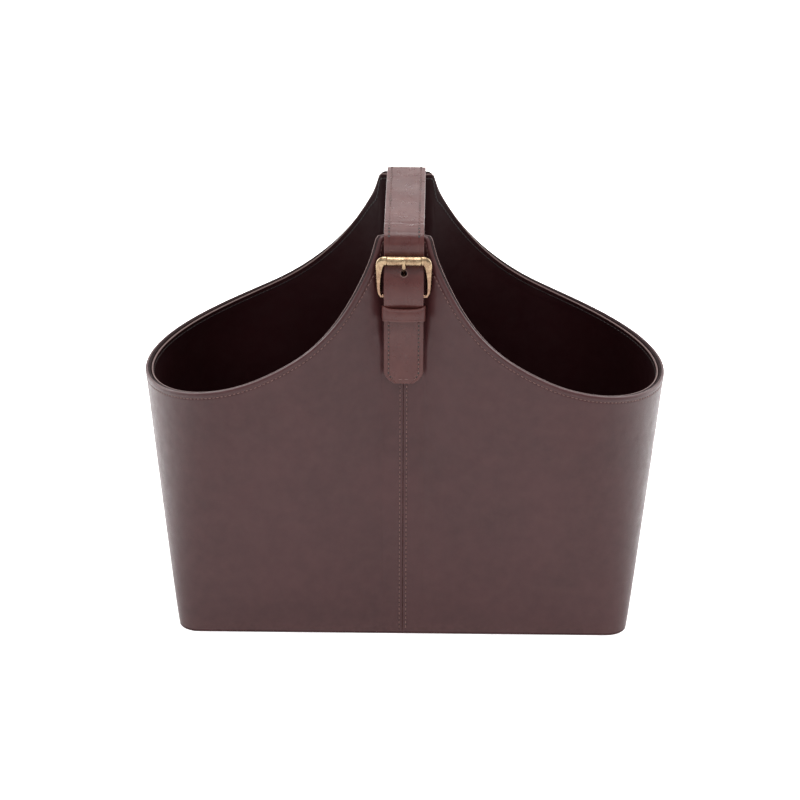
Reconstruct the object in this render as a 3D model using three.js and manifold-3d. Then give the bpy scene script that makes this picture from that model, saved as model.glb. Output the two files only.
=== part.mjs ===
// A leather-covered magazine rack: a stiff basket whose front and back walls sweep up to narrow
// peaks, with a strap handle from peak to peak that is held on the front by a roller buckle.
// Millimetres. +X is the basket's right, the front faces -Y, +Z is up.
// The origin is the middle of the base, on the surface that the rack stands on.
import * as THREE from 'three';
import { mergeVertices } from 'three/addons/utils/BufferGeometryUtils.js';
import Module from 'manifold-3d';

const wasm = await Module();
wasm.setup();

// ---------------------------------------------------------------- driving dimensions
const GAP = 0.3; // clearance kept between touching pieces

// base outline, outside the cover
const BASE_HALF_WIDTH = 197.5;
const BASE_HALF_DEPTH = 95;
const BASE_CORNER = 18;

// rim outline, outside the cover, seen from above
const RIM_HALF_WIDTH = 228.5;
const RIM_HALF_DEPTH = 108.3;
const PEAK_HALF_DEPTH = 75.5; // the handle pulls the two peaks together
const PINCH_START = 18; // |x| where the pinch begins to open, just outside the strap
const PINCH_END = 95; // |x| where the full depth is reached
const PINCH_POWER = 2.6; // how soon it opens
const RIM_CORNER = { x: 109.4, y: 108.3 }; // the ends are fully round at the rim
const CORNER_GROWTH = 1.2; // how the corners open from base to rim; 1 would be even

// rim height along the outline, from the peak (s = 0) to the middle of the end
const PEAK_HEIGHT = 371;
const END_HEIGHT = 216;
const SHOULDER_RISE = 89.5; // long, shallow part of the sweep
const PEAK_RISE = 119; // short, steep part of the sweep
const PEAK_FALL = 37.6; // length over which the steep part dies away
const PEAK_ROUND = 1.2; // softness of the peak's two corners
const PEAK_SHOULDER = { at: 19.3, height: 5, width: 4 }; // fullness just outside the strap

// wall layers, as depths below the outer surface
const COVER = { out: 0, in: 1.4 };
const BOARD = { out: 1.7, in: 4.7 };
const LINING = { out: 5.15, in: 6.5 };
const LINING_DROP = 0.5; // lining's top edge below the rim
const EDGE_ROUND = 1.2; // rounding of the folded rim
const SEAM_STRIP_HALF = 6;
const SEAM_STRIP_CLEARANCE = 0.5;
const SAMPLE = 0.002; // half the stretch of outline over which a slope is taken
// sections round a quarter of the outline: [from, to, how many], as fractions of its length
const SECTION_STRETCHES = [[0.045, 0.115, 7], [0.115, 0.3, 6], [0.3, 0.6, 5], [0.6, 0.75, 7], [0.75, 1, 5]];

// base layers, as heights
const BASE_COVER = { bottom: 0, top: 1.4 };
const BASE_BOARD = { bottom: 1.7, top: 5.7 };
const BASE_LINING = { bottom: 6.0, top: 7.4 };
const WALL_BOTTOM = 1.7;

// handle strap: two leathers with a thin tape between them, as distances above the strap's path
const STRAP_WIDTH = 34;
const STRAP_UNDER = { from: 0, to: 0.8 };
const STRAP_TAPE = { from: 1.1, to: 1.5 };
const STRAP_OUTER = { from: 1.8, to: 3.0 };
const STRAP_TAPE_WIDTH = 24;
// the strap's underside over each peak: its rise above the peak, and the bend's radius and
// distance in from the wall's outer surface
const BACK_BEND = { rise: 0.35, radius: 3.4, inset: 1.4 };
const FRONT_BEND = { rise: 3.4, radius: 11, inset: 8.1 };
const STRAP_END = { height: 359.8, standoff: 2.5 }; // the stitched part's front end
const TAB_BEND = { from: 300, to: 345, lift: 0.2 }; // where the back tab leaves the wall
const TAB_TIP_HEIGHT = 238.6;
const TAB_TIP_LENGTH = 13; // height of the blunt, rounded tip
const TAB_TIP_HALF = 7; // half the straight end of the tip
const TAB_TIP_CURVE = 1.5; // how far in the tip's corners are rounded
const LEATHER_STANDOFF = 1.3; // flat leather bridges the slightly hollow wall

// buckle, in the front wall's own frame: "out" from the wall, "up" along it
const FITTINGS_DROP = 1.1; // how far the frame's zero is below the base's underside
const HEEL = { out: 6.0, up: 321 };
const ROLLER = { out: 9.75, up: 354 };
const HEEL_RADIUS = 1.6;
const ROLLER_BAR_RADIUS = 2.2;
const ROLLER_RADIUS = 4.25;
const ROLLER_LENGTH = 29.4;
const FRAME_HALF_WIDTH = 23.75;
const CHAPE_THICKNESS = 1.4;
const BILLET_THICKNESS = 1.6;
const BILLET_HOLE = { up: 343, radius: 2.9 };
const SLOT_HALF = 2.8; // slot in the chape's fold for the prong
const PRONG_RADIUS = 1.25;
const PRONG_EYE = { radius: 3.0, halfWidth: 2.2 };
const KEEPER = { bottom: 299.5, top: 311.5, thickness: 1.0, halfWidth: 18.5 };

// ---------------------------------------------------------------- materials
function finish(color, roughness, metalness = 0) {
  return new THREE.MeshStandardMaterial({ color, roughness, metalness });
}

const coverLeather = finish('#4f3a38', 0.42);
const strapLeather = finish('#553c39', 0.4);
const liningLeather = finish('#1c0f0f', 0.6);
const fibreBoard = finish('#8b7355', 0.9);
const webbing = finish('#3a3230', 0.85);
const agedBrass = finish('#a9875b', 0.38, 0.9);

// ---------------------------------------------------------------- solid builders
function signedVolume(positions, triangles) {
  let volume = 0;
  for (const [a, b, c] of triangles) {
    volume += positions[a].dot(positions[b].clone().cross(positions[c])) / 6;
  }
  return volume;
}

function solidFrom(positions, triangles) {
  const inward = signedVolume(positions, triangles) < 0;
  const faces = inward ? triangles.map(([a, b, c]) => [a, c, b]) : triangles;
  const geometry = new THREE.BufferGeometry();
  const flat = positions.flatMap((point) => point.toArray());
  geometry.setAttribute('position', new THREE.Float32BufferAttribute(flat, 3));
  geometry.setIndex(faces.flat());
  return geometry;
}

// A closed solid through a row of rings with the same number of points. Open rows are capped;
// the caps are triangulated from the outline that every ring follows. From `returning` on, a
// ring runs back down the far side, and its quads are split so that both sides stay parallel.
function loft(rings, outline, { isLoop = false, returning = Infinity } = {}) {
  const size = rings[0].length;
  const triangles = [];
  const spans = isLoop ? rings.length : rings.length - 1;
  for (let i = 0; i < spans; i += 1) {
    const here = i * size;
    const next = ((i + 1) % rings.length) * size;
    for (let j = 0; j < size; j += 1) {
      const k = (j + 1) % size;
      if (j < returning) {
        triangles.push([here + j, here + k, next + k], [here + j, next + k, next + j]);
      } else {
        triangles.push([here + j, here + k, next + j], [here + k, next + k, next + j]);
      }
    }
  }
  if (!isLoop) {
    const last = (rings.length - 1) * size;
    const clockwise = THREE.ShapeUtils.isClockWise(outline);
    for (const [a, b, c] of THREE.ShapeUtils.triangulateShape(outline, [])) {
      const [first, second, third] = clockwise ? [a, c, b] : [a, b, c];
      triangles.push([first, third, second]);
      triangles.push([last + first, last + second, last + third]);
    }
  }
  return solidFrom(rings.flat(), triangles);
}

function toManifold(geometry) {
  const bare = geometry.clone();
  bare.deleteAttribute('normal');
  bare.deleteAttribute('uv');
  const merged = mergeVertices(bare, 1e-4);
  return new wasm.Manifold(new wasm.Mesh({
    numProp: 3,
    vertProperties: new Float32Array(merged.attributes.position.array),
    triVerts: new Uint32Array(merged.index.array),
  }));
}

function fromManifold(solid) {
  const mesh = solid.getMesh();
  const geometry = new THREE.BufferGeometry();
  geometry.setAttribute('position', new THREE.Float32BufferAttribute(mesh.vertProperties, 3));
  geometry.setIndex(Array.from(mesh.triVerts));
  return geometry;
}

function cut(geometry, ...tools) {
  const result = tools.reduce((solid, tool) => solid.subtract(toManifold(tool)), toManifold(geometry));
  return fromManifold(result);
}

// Extrude a shape drawn in (y, z) along X, centred on X = 0.
const ACROSS = new THREE.Matrix4().makeBasis(
  new THREE.Vector3(0, 1, 0),
  new THREE.Vector3(0, 0, 1),
  new THREE.Vector3(1, 0, 0),
);

function extrudeAcross(shape, width) {
  const geometry = new THREE.ExtrudeGeometry(shape, { depth: width, bevelEnabled: false });
  return geometry.translate(0, 0, -width / 2).applyMatrix4(ACROSS);
}

// A sheet of even thickness: the band between two distances to the left of a path of 2D points.
function bandShape(points, from, to) {
  const normals = points.map((point, i) => {
    const before = points[Math.max(i - 1, 0)];
    const after = points[Math.min(i + 1, points.length - 1)];
    const along = after.clone().sub(before).normalize();
    return new THREE.Vector2(-along.y, along.x);
  });
  const offset = (distance) => points.map((point, i) => point.clone().addScaledVector(normals[i], distance));
  return new THREE.Shape([...offset(from), ...offset(to).reverse()]);
}

// ---------------------------------------------------------------- the basket's surface
// A quarter of the basket's outline in plan, from the front centre to the middle of the right
// end. `rise` is 0 at the base and 1 at the rim, `along` is the fraction of the outline passed.
// The front is straight but pinched in at the centre; then come the corner and the end.
function outlineQuarter(rise) {
  const { lerp } = THREE.MathUtils;
  const halfWidth = lerp(BASE_HALF_WIDTH, RIM_HALF_WIDTH, rise);
  const halfDepth = lerp(BASE_HALF_DEPTH, RIM_HALF_DEPTH, rise);
  const opening = rise ** CORNER_GROWTH;
  const cornerX = lerp(BASE_CORNER, RIM_CORNER.x, opening);
  const cornerY = lerp(BASE_CORNER, RIM_CORNER.y, opening);
  const front = halfWidth - cornerX;
  const side = halfDepth - cornerY;
  const arc = ((cornerX + cornerY) * Math.PI) / 4;
  return { halfWidth, halfDepth, cornerX, cornerY, front, side, arc, length: front + arc + side };
}

function pinch(x, rise) {
  const opening = THREE.MathUtils.clamp((x - PINCH_START) / (PINCH_END - PINCH_START), 0, 1);
  return (RIM_HALF_DEPTH - PEAK_HALF_DEPTH) * rise * (1 - opening) ** PINCH_POWER;
}

function planPoint(along, rise) {
  const outline = outlineQuarter(rise);
  const travelled = along * outline.length;
  if (travelled < outline.front) {
    return new THREE.Vector2(travelled, pinch(travelled, rise) - outline.halfDepth);
  }
  const angle = ((travelled - outline.front) / outline.arc) * (Math.PI / 2);
  if (angle < Math.PI / 2) {
    return new THREE.Vector2(
      outline.front + outline.cornerX * Math.sin(angle),
      -outline.side - outline.cornerY * Math.cos(angle),
    );
  }
  return new THREE.Vector2(outline.halfWidth, travelled - outline.length);
}

const rimLength = outlineQuarter(1).length;

function rimHeight(along) {
  const travelled = along * rimLength;
  const sweep = END_HEIGHT + SHOULDER_RISE * (1 - along) ** 2
    + PEAK_RISE * (Math.exp(-travelled / PEAK_FALL) - Math.exp(-rimLength / PEAK_FALL))
    + PEAK_SHOULDER.height * Math.exp(-(((travelled - PEAK_SHOULDER.at) / PEAK_SHOULDER.width) ** 2));
  return PEAK_HEIGHT - PEAK_ROUND * Math.log(1 + Math.exp((PEAK_HEIGHT - sweep) / PEAK_ROUND));
}

// The difference of f over a short stretch round `along`, per unit of `along`.
function rate(f, along) {
  const low = Math.max(along - SAMPLE, 0);
  const high = Math.min(along + SAMPLE, 1);
  return [f(low), f(high), high - low];
}

// How much longer the rim is than its plan, which keeps its edges evenly thick on slopes.
function rimSteepness(along) {
  const [low, high, span] = rate(rimHeight, along);
  return Math.hypot(1, (high - low) / (span * rimLength));
}

// The point at a depth below the outer surface and a level up the wall. A level is a height
// from the ground, a part of the way up, or a drop square to the rim. `around` runs from 0 at
// the front centre to 2 at the back centre, and `side` is -1 for the left half.
function wallPoint(around, side, depth, level) {
  const along = around > 1 ? 2 - around : around;
  const facing = around > 1 ? -1 : 1;
  const top = rimHeight(along);
  const height = level.height
    ?? (level.part === undefined ? top - level.drop * rimSteepness(along) : level.part * top);
  const rise = height / top;
  const point = planPoint(along, rise);
  const [before, after] = rate((place) => planPoint(place, rise), along);
  const tangent = after.sub(before).normalize();
  return new THREE.Vector3(
    (point.x - tangent.y * depth) * side,
    (point.y + tangent.x * depth) * facing,
    height,
  );
}

// Where the layers' sections stand, closer together at the peak's corner and round the tight
// base corner. Every layer has the same ones, so that the layers stay parallel.
const OUTLINE_LENGTH = outlineQuarter(0).length;
const BOARD_START = (SEAM_STRIP_HALF + SEAM_STRIP_CLEARANCE) / OUTLINE_LENGTH;
const SEAM_START = GAP / 2 / OUTLINE_LENGTH;

function sectionPlaces(start) {
  const stretches = [[BOARD_START, SECTION_STRETCHES[0][0], 1], ...SECTION_STRETCHES];
  const shared = stretches.flatMap(([from, to, count]) => (
    Array.from({ length: count }, (_, i) => from + ((to - from) * i) / count)));
  const quarter = start < BOARD_START ? [start, ...shared] : shared;
  return [...quarter, 1, ...quarter.map((place) => 2 - place).reverse()];
}

// One half of a wall layer. The section lists [depth, level] pairs round the layer's edge.
function wallLayer(section, start, side) {
  const places = sectionPlaces(start);
  const rings = places.map((place) => (
    section.map(([depth, level]) => wallPoint(place, side, depth, level))));
  const outline = section.map(([depth], i) => new THREE.Vector2(depth, rings[0][i].z));
  return loft(rings, outline, { returning: section.length / 2 });
}

const MID_LEVELS = [0.25, 0.5, 0.75].map((part) => ({ part }));

function plainSection(layer, bottom, drop) {
  return [
    [layer.out, { height: bottom }],
    ...MID_LEVELS.map((level) => [layer.out, level]),
    [layer.out, { drop }],
    [layer.in, { drop }],
    ...MID_LEVELS.toReversed().map((level) => [layer.in, level]),
    [layer.in, { height: bottom }],
  ];
}

// The cover goes up the outside and folds over the board's top edge.
function coverSection() {
  const thickness = COVER.in - COVER.out;
  return [
    [COVER.out, { height: WALL_BOTTOM }],
    ...MID_LEVELS.map((level) => [COVER.out, level]),
    [COVER.out, { drop: EDGE_ROUND }],
    [COVER.out + EDGE_ROUND, { drop: 0 }],
    [BOARD.in - EDGE_ROUND, { drop: 0 }],
    [BOARD.in, { drop: EDGE_ROUND }],
    [BOARD.in, { drop: thickness }],
    [COVER.in, { drop: thickness }],
    ...MID_LEVELS.toReversed().map((level) => [COVER.in, level]),
    [COVER.in, { height: WALL_BOTTOM }],
  ];
}

// ---------------------------------------------------------------- base plates
function plate(inset, layer) {
  const w = BASE_HALF_WIDTH - inset;
  const d = BASE_HALF_DEPTH - inset;
  const r = BASE_CORNER - inset;
  const shape = new THREE.Shape();
  shape.absarc(w - r, -d + r, r, -Math.PI / 2, 0);
  shape.absarc(w - r, d - r, r, 0, Math.PI / 2);
  shape.absarc(-w + r, d - r, r, Math.PI / 2, Math.PI);
  shape.absarc(-w + r, -d + r, r, Math.PI, Math.PI * 1.5);
  const geometry = new THREE.ExtrudeGeometry(shape, {
    depth: layer.top - layer.bottom,
    bevelEnabled: false,
    curveSegments: 8,
  });
  return geometry.translate(0, 0, layer.bottom);
}

// ---------------------------------------------------------------- handle strap
const WALL_LEAN = (BASE_HALF_DEPTH - PEAK_HALF_DEPTH) / PEAK_HEIGHT;

function wallHalfDepth(height) {
  return BASE_HALF_DEPTH - WALL_LEAN * height;
}

// The strap's underside in (y, z): up the back wall, over the back peak, across and over the
// front peak, where the stitched part of the strap ends.
function bendCentre({ rise, radius, inset }) {
  return { depth: PEAK_HALF_DEPTH - inset, height: PEAK_HEIGHT + rise - radius };
}

function strapPath() {
  const back = bendCentre(BACK_BEND);
  const front = bendCentre(FRONT_BEND);
  const path = new THREE.Path();
  path.moveTo(wallHalfDepth(TAB_TIP_HEIGHT) + LEATHER_STANDOFF, TAB_TIP_HEIGHT);
  path.lineTo(wallHalfDepth(TAB_BEND.from) + LEATHER_STANDOFF, TAB_BEND.from);
  path.lineTo(wallHalfDepth(TAB_BEND.to) + LEATHER_STANDOFF + TAB_BEND.lift, TAB_BEND.to);
  path.absarc(back.depth, back.height, BACK_BEND.radius, 0, Math.PI / 2);
  path.absarc(-front.depth, front.height, FRONT_BEND.radius, Math.PI / 2, Math.PI);
  path.lineTo(-(wallHalfDepth(STRAP_END.height) + STRAP_END.standoff), STRAP_END.height);
  return path.getPoints(8);
}

function strapLayer(layer, width) {
  return extrudeAcross(bandShape(strapPath(), -layer.from, -layer.to), width);
}

// The blunt end of a tab: a plate in (x, z) with its lower corners rounded off.
function tabOutline(top) {
  const half = STRAP_WIDTH / 2;
  const shape = new THREE.Shape();
  shape.moveTo(-half, top);
  shape.lineTo(-half, TAB_TIP_HEIGHT + TAB_TIP_LENGTH);
  shape.quadraticCurveTo(-half + TAB_TIP_CURVE, TAB_TIP_HEIGHT, -TAB_TIP_HALF, TAB_TIP_HEIGHT);
  shape.lineTo(TAB_TIP_HALF, TAB_TIP_HEIGHT);
  shape.quadraticCurveTo(half - TAB_TIP_CURVE, TAB_TIP_HEIGHT, half, TAB_TIP_HEIGHT + TAB_TIP_LENGTH);
  shape.lineTo(half, top);
  return shape;
}

function trimToTab(geometry, nearY, farY, top) {
  const block = new THREE.ExtrudeGeometry(tabOutline(top), {
    depth: farY - nearY,
    bevelEnabled: false,
    curveSegments: 6,
  });
  block.rotateX(Math.PI / 2).translate(0, farY, 0);
  return fromManifold(toManifold(geometry).intersect(toManifold(block)));
}

// ---------------------------------------------------------------- front fittings
// Drawn in the front wall's frame: x across, -y out from the wall, z up along it.
function sheetAlong(pairs, thickness, width, count = 30) {
  const curve = new THREE.SplineCurve(pairs.map(([out, up]) => new THREE.Vector2(-out, up)));
  const shape = bandShape(curve.getSpacedPoints(count), -thickness / 2, thickness / 2);
  return extrudeAcross(shape, width);
}

function rod(radius, length, segments = 24) {
  return new THREE.CylinderGeometry(radius, radius, length, segments).rotateZ(Math.PI / 2);
}

// The single-leather end of the strap: behind the roller, over the heel bar, into the keeper.
function billet() {
  const sheet = sheetAlong([
    [5.1, 360.6], [4.4, 354], [5.3, 348.5], [8.2, 343], [9.9, 336], [10.7, 328],
    [10.6, 321], [9.9, 316.5], [8.95, 314], [7.9, 311.5], [7.1, 308], [6.9, 304], [6.9, 300.3],
  ], BILLET_THICKNESS, STRAP_WIDTH, 40);
  const punch = new THREE.CylinderGeometry(BILLET_HOLE.radius, BILLET_HOLE.radius, 20, 20);
  punch.translate(0, -8, BILLET_HOLE.up);
  return cut(sheet, punch);
}

// The tab: stitched flat to the wall, folded round the heel bar, with its end tucked behind.
function chape() {
  const reach = HEEL_RADIUS + GAP + CHAPE_THICKNESS / 2;
  const fold = Array.from({ length: 9 }, (_, i) => {
    const angle = (i * Math.PI) / 8;
    return [HEEL.out + reach * Math.cos(angle), HEEL.up + reach * Math.sin(angle)];
  });
  const front = [
    [2.0, TAB_TIP_HEIGHT], [2.0, 250], [2.0, 262], [2.3, 272], [3.4, 280], [4.7, 287], [5.1, 294],
    [5.1, 304], [5.25, 308], [6.0, 311.5], [7.1, 314], [8.3, 317.5],
  ];
  const back = [[3.4, 317], [3.4, 308], [3.4, 298], [3.4, 290]];
  const sheet = sheetAlong([...front, ...fold, ...back], CHAPE_THICKNESS, STRAP_WIDTH, 90);
  const slot = new THREE.BoxGeometry(SLOT_HALF * 2, 20, 20).translate(0, -8, 325.5);
  return trimToTab(cut(sheet, slot), -14, 0, HEEL.up + 10);
}

function keeper() {
  const { bottom, top, thickness, halfWidth } = KEEPER;
  const loop = (inset, back, side, middle) => {
    const w = halfWidth - inset;
    const path = new THREE.Path();
    path.moveTo(-w, -back);
    path.lineTo(-w, -side);
    path.quadraticCurveTo(0, -(2 * middle - side), w, -side);
    path.lineTo(w, -back);
    return path;
  };
  const shape = new THREE.Shape(loop(0, 1.5, 10.0, 11.8).getPoints(10));
  shape.holes.push(new THREE.Path(loop(thickness, 1.5 + thickness, 8.95, 10.7).getPoints(10)));
  const geometry = new THREE.ExtrudeGeometry(shape, { depth: top - bottom, bevelEnabled: false });
  return geometry.translate(0, 0, bottom);
}

// The frame is one closed ring of changing section: the heel bar at the bottom, arms that
// swell towards the top corners, and the slim bar that carries the roller.
// Each entry is [x, distance from the heel bar, half width in the plane, half thickness].
const FRAME_RISE = Math.hypot(ROLLER.out - HEEL.out, ROLLER.up - HEEL.up);
const ARM = FRAME_HALF_WIDTH - 2.2;
const FRAME_HALF = [
  [0, 0, HEEL_RADIUS, HEEL_RADIUS],
  [17.9, 0, HEEL_RADIUS, HEEL_RADIUS],
  [19.7, 0.9, 1.6, 1.7],
  [20.8, 2.9, 1.7, 1.8],
  [ARM - 0.2, 7, 1.9, 1.9],
  [ARM, 13, 2.2, 2.0],
  [ARM, 19, 2.5, 2.2],
  [ARM - 0.4, 24, 2.9, 2.3],
  [ARM - 0.9, 28, 3.4, 2.4],
  [ARM - 1.9, 31, 3.9, 2.5],
  [ARM - 3.5, 32.7, 4.1, 2.6],
  [ROLLER_LENGTH / 2 + 1.6, FRAME_RISE, 4.15, 2.6],
  [ROLLER_LENGTH / 2 + GAP + 0.1, FRAME_RISE, 4.1, 2.6],
  [ROLLER_LENGTH / 2 + GAP, FRAME_RISE, ROLLER_BAR_RADIUS, ROLLER_BAR_RADIUS],
  [0, FRAME_RISE, ROLLER_BAR_RADIUS, ROLLER_BAR_RADIUS],
];

function buckleFrame() {
  const right = FRAME_HALF.map(([x, rise, width, depth]) => ({ x, rise, width, depth }));
  const left = right.slice(1, -1).reverse().map((entry) => ({ ...entry, x: -entry.x }));
  const stations = [...right, ...left];
  const sides = 16;
  const rings = stations.map((station, i) => {
    const before = stations[(i + stations.length - 1) % stations.length];
    const after = stations[(i + 1) % stations.length];
    const along = new THREE.Vector2(after.x - before.x, after.rise - before.rise).normalize();
    return Array.from({ length: sides }, (_, j) => {
      const angle = ((j + 0.5) * 2 * Math.PI) / sides;
      const across = station.width * Math.cos(angle);
      return new THREE.Vector3(
        station.x + along.y * across,
        station.depth * Math.sin(angle),
        station.rise - along.x * across,
      );
    });
  });
  return loft(rings, null, { isLoop: true });
}

function roller() {
  const half = ROLLER_LENGTH / 2;
  const bore = ROLLER_BAR_RADIUS + GAP;
  const profile = [
    [bore, -half], [ROLLER_RADIUS - 0.4, -half], [ROLLER_RADIUS, -half + 0.5],
    [ROLLER_RADIUS, half - 0.5], [ROLLER_RADIUS - 0.4, half], [bore, half], [bore, -half],
  ].map(([radius, along]) => new THREE.Vector2(radius, along));
  return new THREE.LatheGeometry(profile, 24).rotateZ(Math.PI / 2);
}

function prong() {
  const points = [
    [7.6, 323.2], [7.0, 328], [6.3, 334], [6.6, 339.2], [8.6, 343.2], [11.0, 346.4],
    [13.3, 349.1], [15.6, 353.5], [15.45, 357.6],
  ].map(([out, up]) => new THREE.Vector3(0, -out, up));
  const section = new THREE.Shape().absarc(0, 0, PRONG_RADIUS, 0, Math.PI * 2);
  const shank = new THREE.ExtrudeGeometry(section, {
    steps: 28,
    curveSegments: 5,
    extrudePath: new THREE.CatmullRomCurve3(points),
  });
  const eye = rod(PRONG_EYE.radius, PRONG_EYE.halfWidth * 2).translate(0, -HEEL.out, HEEL.up);
  const bore = rod(HEEL_RADIUS + GAP, 20).translate(0, -HEEL.out, HEEL.up);
  const joined = toManifold(eye).add(toManifold(shank)).subtract(toManifold(bore));
  return fromManifold(joined);
}

// ---------------------------------------------------------------- assembly
function named(name, geometry, material) {
  const mesh = new THREE.Mesh(geometry, material);
  mesh.name = name;
  return mesh;
}

function basket() {
  const group = new THREE.Group();
  const board = plainSection(BOARD, WALL_BOTTOM, COVER.in + GAP);
  const lining = plainSection(LINING, BASE_BOARD.top + GAP, LINING_DROP);
  for (const [label, side] of [['left', -1], ['right', 1]]) {
    const layer = (section, start) => wallLayer(section, start, side);
    group.add(named(`outer_cover_${label}`, layer(coverSection(), SEAM_START), coverLeather));
    group.add(named(`wall_board_${label}`, layer(board, BOARD_START), fibreBoard));
    group.add(named(`lining_${label}`, layer(lining, SEAM_START), liningLeather));
  }
  return group;
}

function seamStrip(facing) {
  const top = PEAK_HEIGHT - COVER.in - GAP;
  const depths = [BOARD.out, BOARD.in];
  const shape = new THREE.Shape([
    new THREE.Vector2(facing * (wallHalfDepth(WALL_BOTTOM) - depths[0]), WALL_BOTTOM),
    new THREE.Vector2(facing * (wallHalfDepth(top) - depths[0]), top),
    new THREE.Vector2(facing * (wallHalfDepth(top) - depths[1]), top),
    new THREE.Vector2(facing * (wallHalfDepth(WALL_BOTTOM) - depths[1]), WALL_BOTTOM),
  ]);
  return extrudeAcross(shape, SEAM_STRIP_HALF * 2);
}

function handle() {
  const group = new THREE.Group();
  const outer = trimToTab(strapLayer(STRAP_OUTER, STRAP_WIDTH), -120, 120, PEAK_HEIGHT + 20);
  group.add(named('handle_strap', outer, strapLeather));
  const under = trimToTab(strapLayer(STRAP_UNDER, STRAP_WIDTH), -120, 120, PEAK_HEIGHT + 20);
  group.add(named('handle_lining', under, strapLeather));
  group.add(named('handle_tape', strapLayer(STRAP_TAPE, STRAP_TAPE_WIDTH), webbing));
  return group;
}

function frontFittings() {
  const group = new THREE.Group();
  group.position.set(0, -wallHalfDepth(-FITTINGS_DROP), -FITTINGS_DROP);
  group.rotation.x = -Math.atan(WALL_LEAN);
  group.add(named('strap_billet', billet(), strapLeather));
  group.add(named('buckle_chape', chape(), strapLeather));
  group.add(named('strap_keeper', keeper(), strapLeather));
  group.add(named('buckle_prong', prong(), agedBrass));

  const buckle = new THREE.Group();
  buckle.position.set(0, -HEEL.out, HEEL.up);
  buckle.rotation.x = Math.atan2(ROLLER.out - HEEL.out, ROLLER.up - HEEL.up);
  buckle.add(named('buckle_frame', buckleFrame(), agedBrass));
  const sleeve = named('buckle_roller', roller(), agedBrass);
  sleeve.position.set(0, 0, FRAME_RISE);
  buckle.add(sleeve);
  group.add(buckle);
  return group;
}

const rack = new THREE.Group();
rack.name = 'magazine_rack';
rack.add(basket());
rack.add(named('front_seam_strip', seamStrip(-1), webbing));
rack.add(named('back_seam_strip', seamStrip(1), webbing));
rack.add(named('base_cover', plate(0, BASE_COVER), coverLeather));
rack.add(named('base_board', plate(LINING.out + GAP, BASE_BOARD), fibreBoard));
rack.add(named('base_lining', plate(LINING.in + GAP * 2, BASE_LINING), liningLeather));
rack.add(handle());
rack.add(frontFittings());

export default rack;
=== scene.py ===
import math

import bmesh
import bpy
import numpy as np
from mathutils import Matrix, Vector


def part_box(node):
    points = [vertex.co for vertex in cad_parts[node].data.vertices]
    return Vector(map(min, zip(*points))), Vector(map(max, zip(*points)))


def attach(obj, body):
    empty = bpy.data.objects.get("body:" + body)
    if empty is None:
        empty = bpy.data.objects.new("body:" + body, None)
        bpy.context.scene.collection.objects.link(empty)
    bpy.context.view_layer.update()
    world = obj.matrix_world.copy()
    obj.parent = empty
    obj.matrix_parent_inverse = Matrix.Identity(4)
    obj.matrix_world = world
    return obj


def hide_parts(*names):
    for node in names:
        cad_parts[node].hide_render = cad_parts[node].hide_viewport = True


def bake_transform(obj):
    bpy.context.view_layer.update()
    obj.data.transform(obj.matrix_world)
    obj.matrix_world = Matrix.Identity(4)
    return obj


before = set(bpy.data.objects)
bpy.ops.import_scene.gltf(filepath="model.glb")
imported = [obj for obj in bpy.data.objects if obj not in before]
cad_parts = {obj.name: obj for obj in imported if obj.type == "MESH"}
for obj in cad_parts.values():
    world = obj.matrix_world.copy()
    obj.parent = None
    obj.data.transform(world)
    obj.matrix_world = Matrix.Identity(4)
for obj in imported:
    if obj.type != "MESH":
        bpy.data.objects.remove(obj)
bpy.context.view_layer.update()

MM = 0.001


# ---- sizes, in millimetres
def box_mm(node):
    """A CAD node's lowest and highest corners, in millimetres."""
    low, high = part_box(node)
    return np.array(low) / MM, np.array(high) / MM


BASE_HIGH = box_mm("base_cover")[1]
COVER_HIGH = box_mm("outer_cover_right")[1]

BASE_HALF_WIDTH, BASE_HALF_DEPTH = BASE_HIGH[0], BASE_HIGH[1]
RIM_HALF_WIDTH, RIM_HALF_DEPTH, PEAK_HEIGHT = COVER_HIGH
BASE_CORNER = 18.0
RIM_CORNER_X, RIM_CORNER_Y = 109.4, RIM_HALF_DEPTH
CORNER_GROWTH = 1.2
PEAK_HALF_DEPTH = 75.5
PINCH_START, PINCH_END, PINCH_POWER = 18.0, 95.0, 2.6
END_HEIGHT, SHOULDER_RISE = 216.0, 89.5
PEAK_RISE, PEAK_FALL, PEAK_ROUND = 119.0, 37.6, 1.2
SHOULDER_AT, SHOULDER_HEIGHT, SHOULDER_WIDTH = 19.3, 5.0, 4.0
WALL_LEAN = (BASE_HALF_DEPTH - PEAK_HALF_DEPTH) / PEAK_HEIGHT
LEAN_ANGLE = math.atan(WALL_LEAN)

WALL_BOTTOM = 1.7
COVER_THICKNESS = 1.3
FOLD_DEPTH = 4.6        # the cover's fold over the board's top edge
FOLD_LENGTH = 16.0      # its tongue, between the board and the lining
LINING_OUT, LINING_IN = 5.0, 6.4
LINING_FOLD_LENGTH = 11.0
RIM_STITCH_DROP = 4.8
SEAM_STITCH_OFFSET = 2.85
STITCH_PITCH = 4.0
SEAM_PITCH = 4.2
SLOPE_STEP = 0.002      # share of a quarter to either side when a slope is measured

STRAP_HALF = 17.0
STRAP_STITCH_INSET = 4.2
STRAP_UNDER = (0.0, 1.42)
STRAP_OUTER = (1.5, 3.0)
LEATHER_THICKNESS = 1.6
TAB_TIP_HEIGHT = 238.6
FITTINGS_DROP = 1.1


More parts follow.
